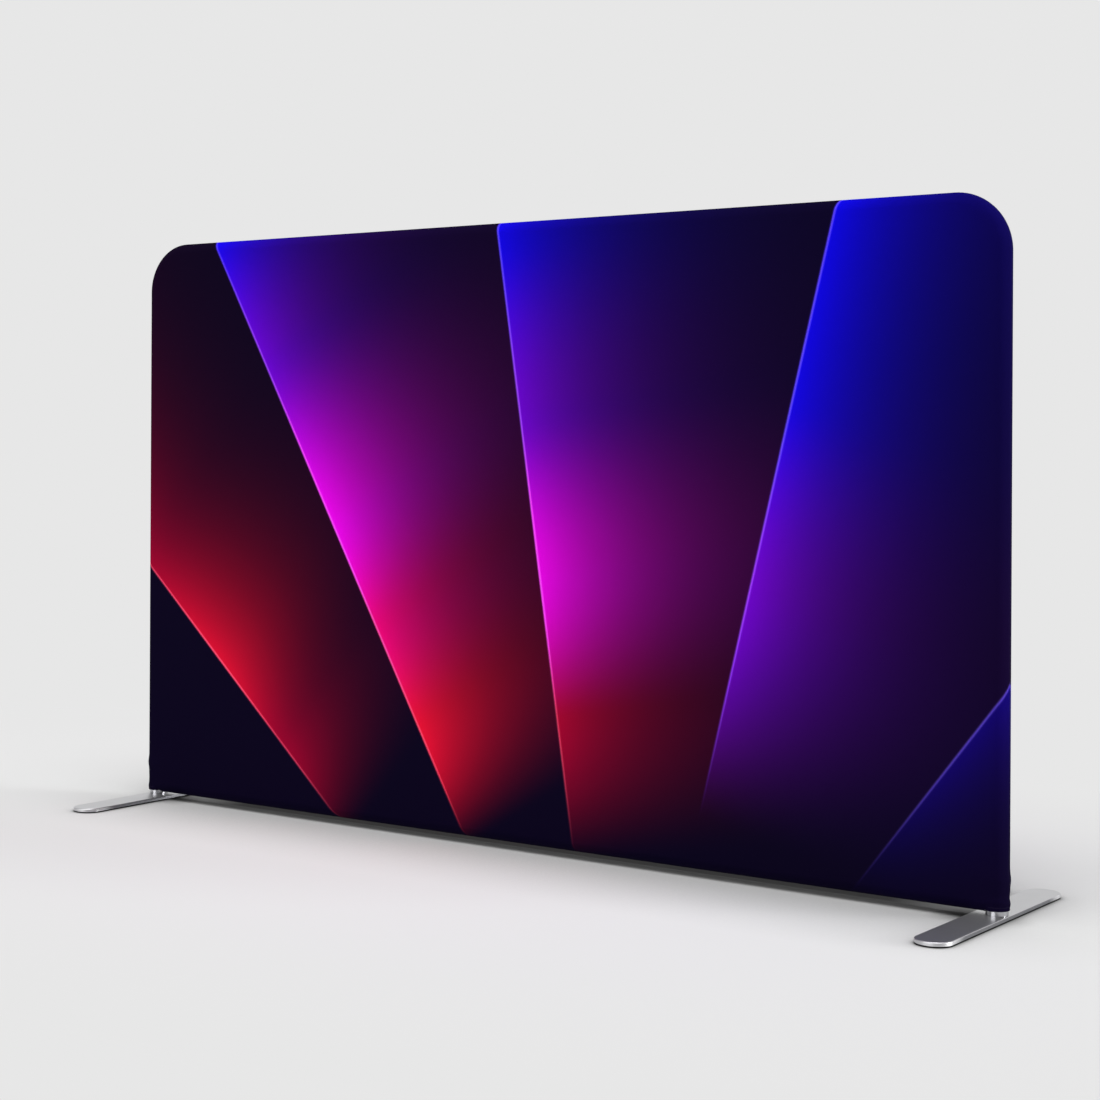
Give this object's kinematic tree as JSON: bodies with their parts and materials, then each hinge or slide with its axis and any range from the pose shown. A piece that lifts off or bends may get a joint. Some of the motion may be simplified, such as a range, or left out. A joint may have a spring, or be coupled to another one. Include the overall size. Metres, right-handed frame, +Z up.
{
  "type": "fabric display backdrop",
  "caption": "Free-standing fabric display backdrop: a zipped stretch cover with a colour print on a knock-down frame of round tubes with rounded top corners, on flat plate feet.",
  "frame": {"origin": "on the floor, midway between the two feet", "axes": "+X along the panel, +Z up; the printed front faces -Y and the zip is at the back, towards +Y"},
  "size_m": [2.5, 0.6, 1.5],
  "materials": {
    "aluminium_tube": "satin anodised",
    "aluminium_sleeve": "mill finish",
    "aluminium_rivet": "plain",
    "spring_steel": "plain",
    "button_steel": "polished",
    "printed_fabric_front": "dye-printed stretch knit",
    "printed_fabric_back": "dye-printed stretch knit",
    "zip_tape": "woven",
    "zip_coil": "satin",
    "zip_metal": "plated",
    "foot_steel": "satin nickel plated",
    "rubber_sole": "matt",
    "polished_spigot": "turned and polished",
    "bolt_steel": "zinc plated"
  },
  "bodies": {
    "frame": {"left_post": "aluminium_tube", "right_post": "aluminium_tube", "left_corner_tube": "aluminium_tube", "right_corner_tube": "aluminium_tube", "top_rail_left": "aluminium_tube", "top_rail_right": "aluminium_tube", "bottom_rail_left": "aluminium_tube", "bottom_rail_right": "aluminium_tube", "left_post_sleeve": "aluminium_sleeve", "right_post_sleeve": "aluminium_sleeve", "top_left_sleeve": "aluminium_sleeve", "top_middle_sleeve": "aluminium_sleeve", "top_right_sleeve": "aluminium_sleeve", "bottom_left_rail_stub": "aluminium_sleeve", "bottom_middle_sleeve": "aluminium_sleeve", "bottom_right_rail_stub": "aluminium_sleeve", "sleeve_rivets": "aluminium_rivet", "snap_springs": "spring_steel", "front_panel": "printed_fabric_front", "back_panel": "printed_fabric_back", "zip_tapes": "zip_tape", "zip_chain": "zip_coil", "zip_stops": "zip_metal"},
    "left_post_button": {"left_post_button": "button_steel"},
    "right_post_button": {"right_post_button": "button_steel"},
    "top_left_button": {"top_left_button": "button_steel"},
    "top_middle_button": {"top_middle_button": "button_steel"},
    "top_right_button": {"top_right_button": "button_steel"},
    "bottom_left_button": {"bottom_left_button": "button_steel"},
    "bottom_middle_button": {"bottom_middle_button": "button_steel"},
    "bottom_right_button": {"bottom_right_button": "button_steel"},
    "zip_slider": {"zip_slider": "zip_metal"},
    "zip_pull": {"zip_pull": "zip_metal"},
    "left_foot": {"left_foot_plate": "foot_steel", "left_foot_sole": "rubber_sole", "left_foot_spigot": "polished_spigot", "left_foot_bolt": "bolt_steel"},
    "right_foot": {"right_foot_plate": "foot_steel", "right_foot_sole": "rubber_sole", "right_foot_spigot": "polished_spigot", "right_foot_bolt": "bolt_steel"}
  },
  "joints": [
    {"name": "left_post_button_press", "type": "slide", "parent": "frame", "child": "left_post_button", "axis": [-1, 0, 0], "range_m": [0, 0.00655], "stiffness_N_per_m": 900, "springref_m": -0.004, "deforming": ["snap_springs"]},
    {"name": "right_post_button_press", "type": "slide", "parent": "frame", "child": "right_post_button", "axis": [1, 0, 0], "range_m": [0, 0.00655], "stiffness_N_per_m": 900, "springref_m": -0.004, "deforming": ["snap_springs"]},
    {"name": "top_left_button_press", "type": "slide", "parent": "frame", "child": "top_left_button", "axis": [0, 0, 1], "range_m": [0, 0.00655], "stiffness_N_per_m": 900, "springref_m": -0.004, "deforming": ["snap_springs"]},
    {"name": "top_middle_button_press", "type": "slide", "parent": "frame", "child": "top_middle_button", "axis": [0, 0, 1], "range_m": [0, 0.00655], "stiffness_N_per_m": 900, "springref_m": -0.004, "deforming": ["snap_springs"]},
    {"name": "top_right_button_press", "type": "slide", "parent": "frame", "child": "top_right_button", "axis": [0, 0, 1], "range_m": [0, 0.00655], "stiffness_N_per_m": 900, "springref_m": -0.004, "deforming": ["snap_springs"]},
    {"name": "bottom_left_button_press", "type": "slide", "parent": "frame", "child": "bottom_left_button", "axis": [0, 0, -1], "range_m": [0, 0.00655], "stiffness_N_per_m": 900, "springref_m": -0.004, "deforming": ["snap_springs"]},
    {"name": "bottom_middle_button_press", "type": "slide", "parent": "frame", "child": "bottom_middle_button", "axis": [0, 0, -1], "range_m": [0, 0.00655], "stiffness_N_per_m": 900, "springref_m": -0.004, "deforming": ["snap_springs"]},
    {"name": "bottom_right_button_press", "type": "slide", "parent": "frame", "child": "bottom_right_button", "axis": [0, 0, -1], "range_m": [0, 0.00655], "stiffness_N_per_m": 900, "springref_m": -0.004, "deforming": ["snap_springs"]},
    {"name": "zip_slide", "type": "slide", "parent": "frame", "child": "zip_slider", "axis": [-1, 0, 0], "range_m": [0, 2.2992], "deforming": ["zip_chain"]},
    {"name": "zip_pull_swing", "type": "hinge", "parent": "zip_slider", "child": "zip_pull", "pos_m": [1.1496, 0.03166, 0.0746], "axis": [0, 0, -1], "range_deg": [0, 180]},
    {"name": "left_foot_turn", "type": "hinge", "parent": "frame", "child": "left_foot", "pos_m": [-1.2239, 0, 0.011], "axis": [0, 0, 1], "continuous": true},
    {"name": "right_foot_turn", "type": "hinge", "parent": "frame", "child": "right_foot", "pos_m": [1.2239, 0, 0.011], "axis": [0, 0, 1], "continuous": true}
  ]
}
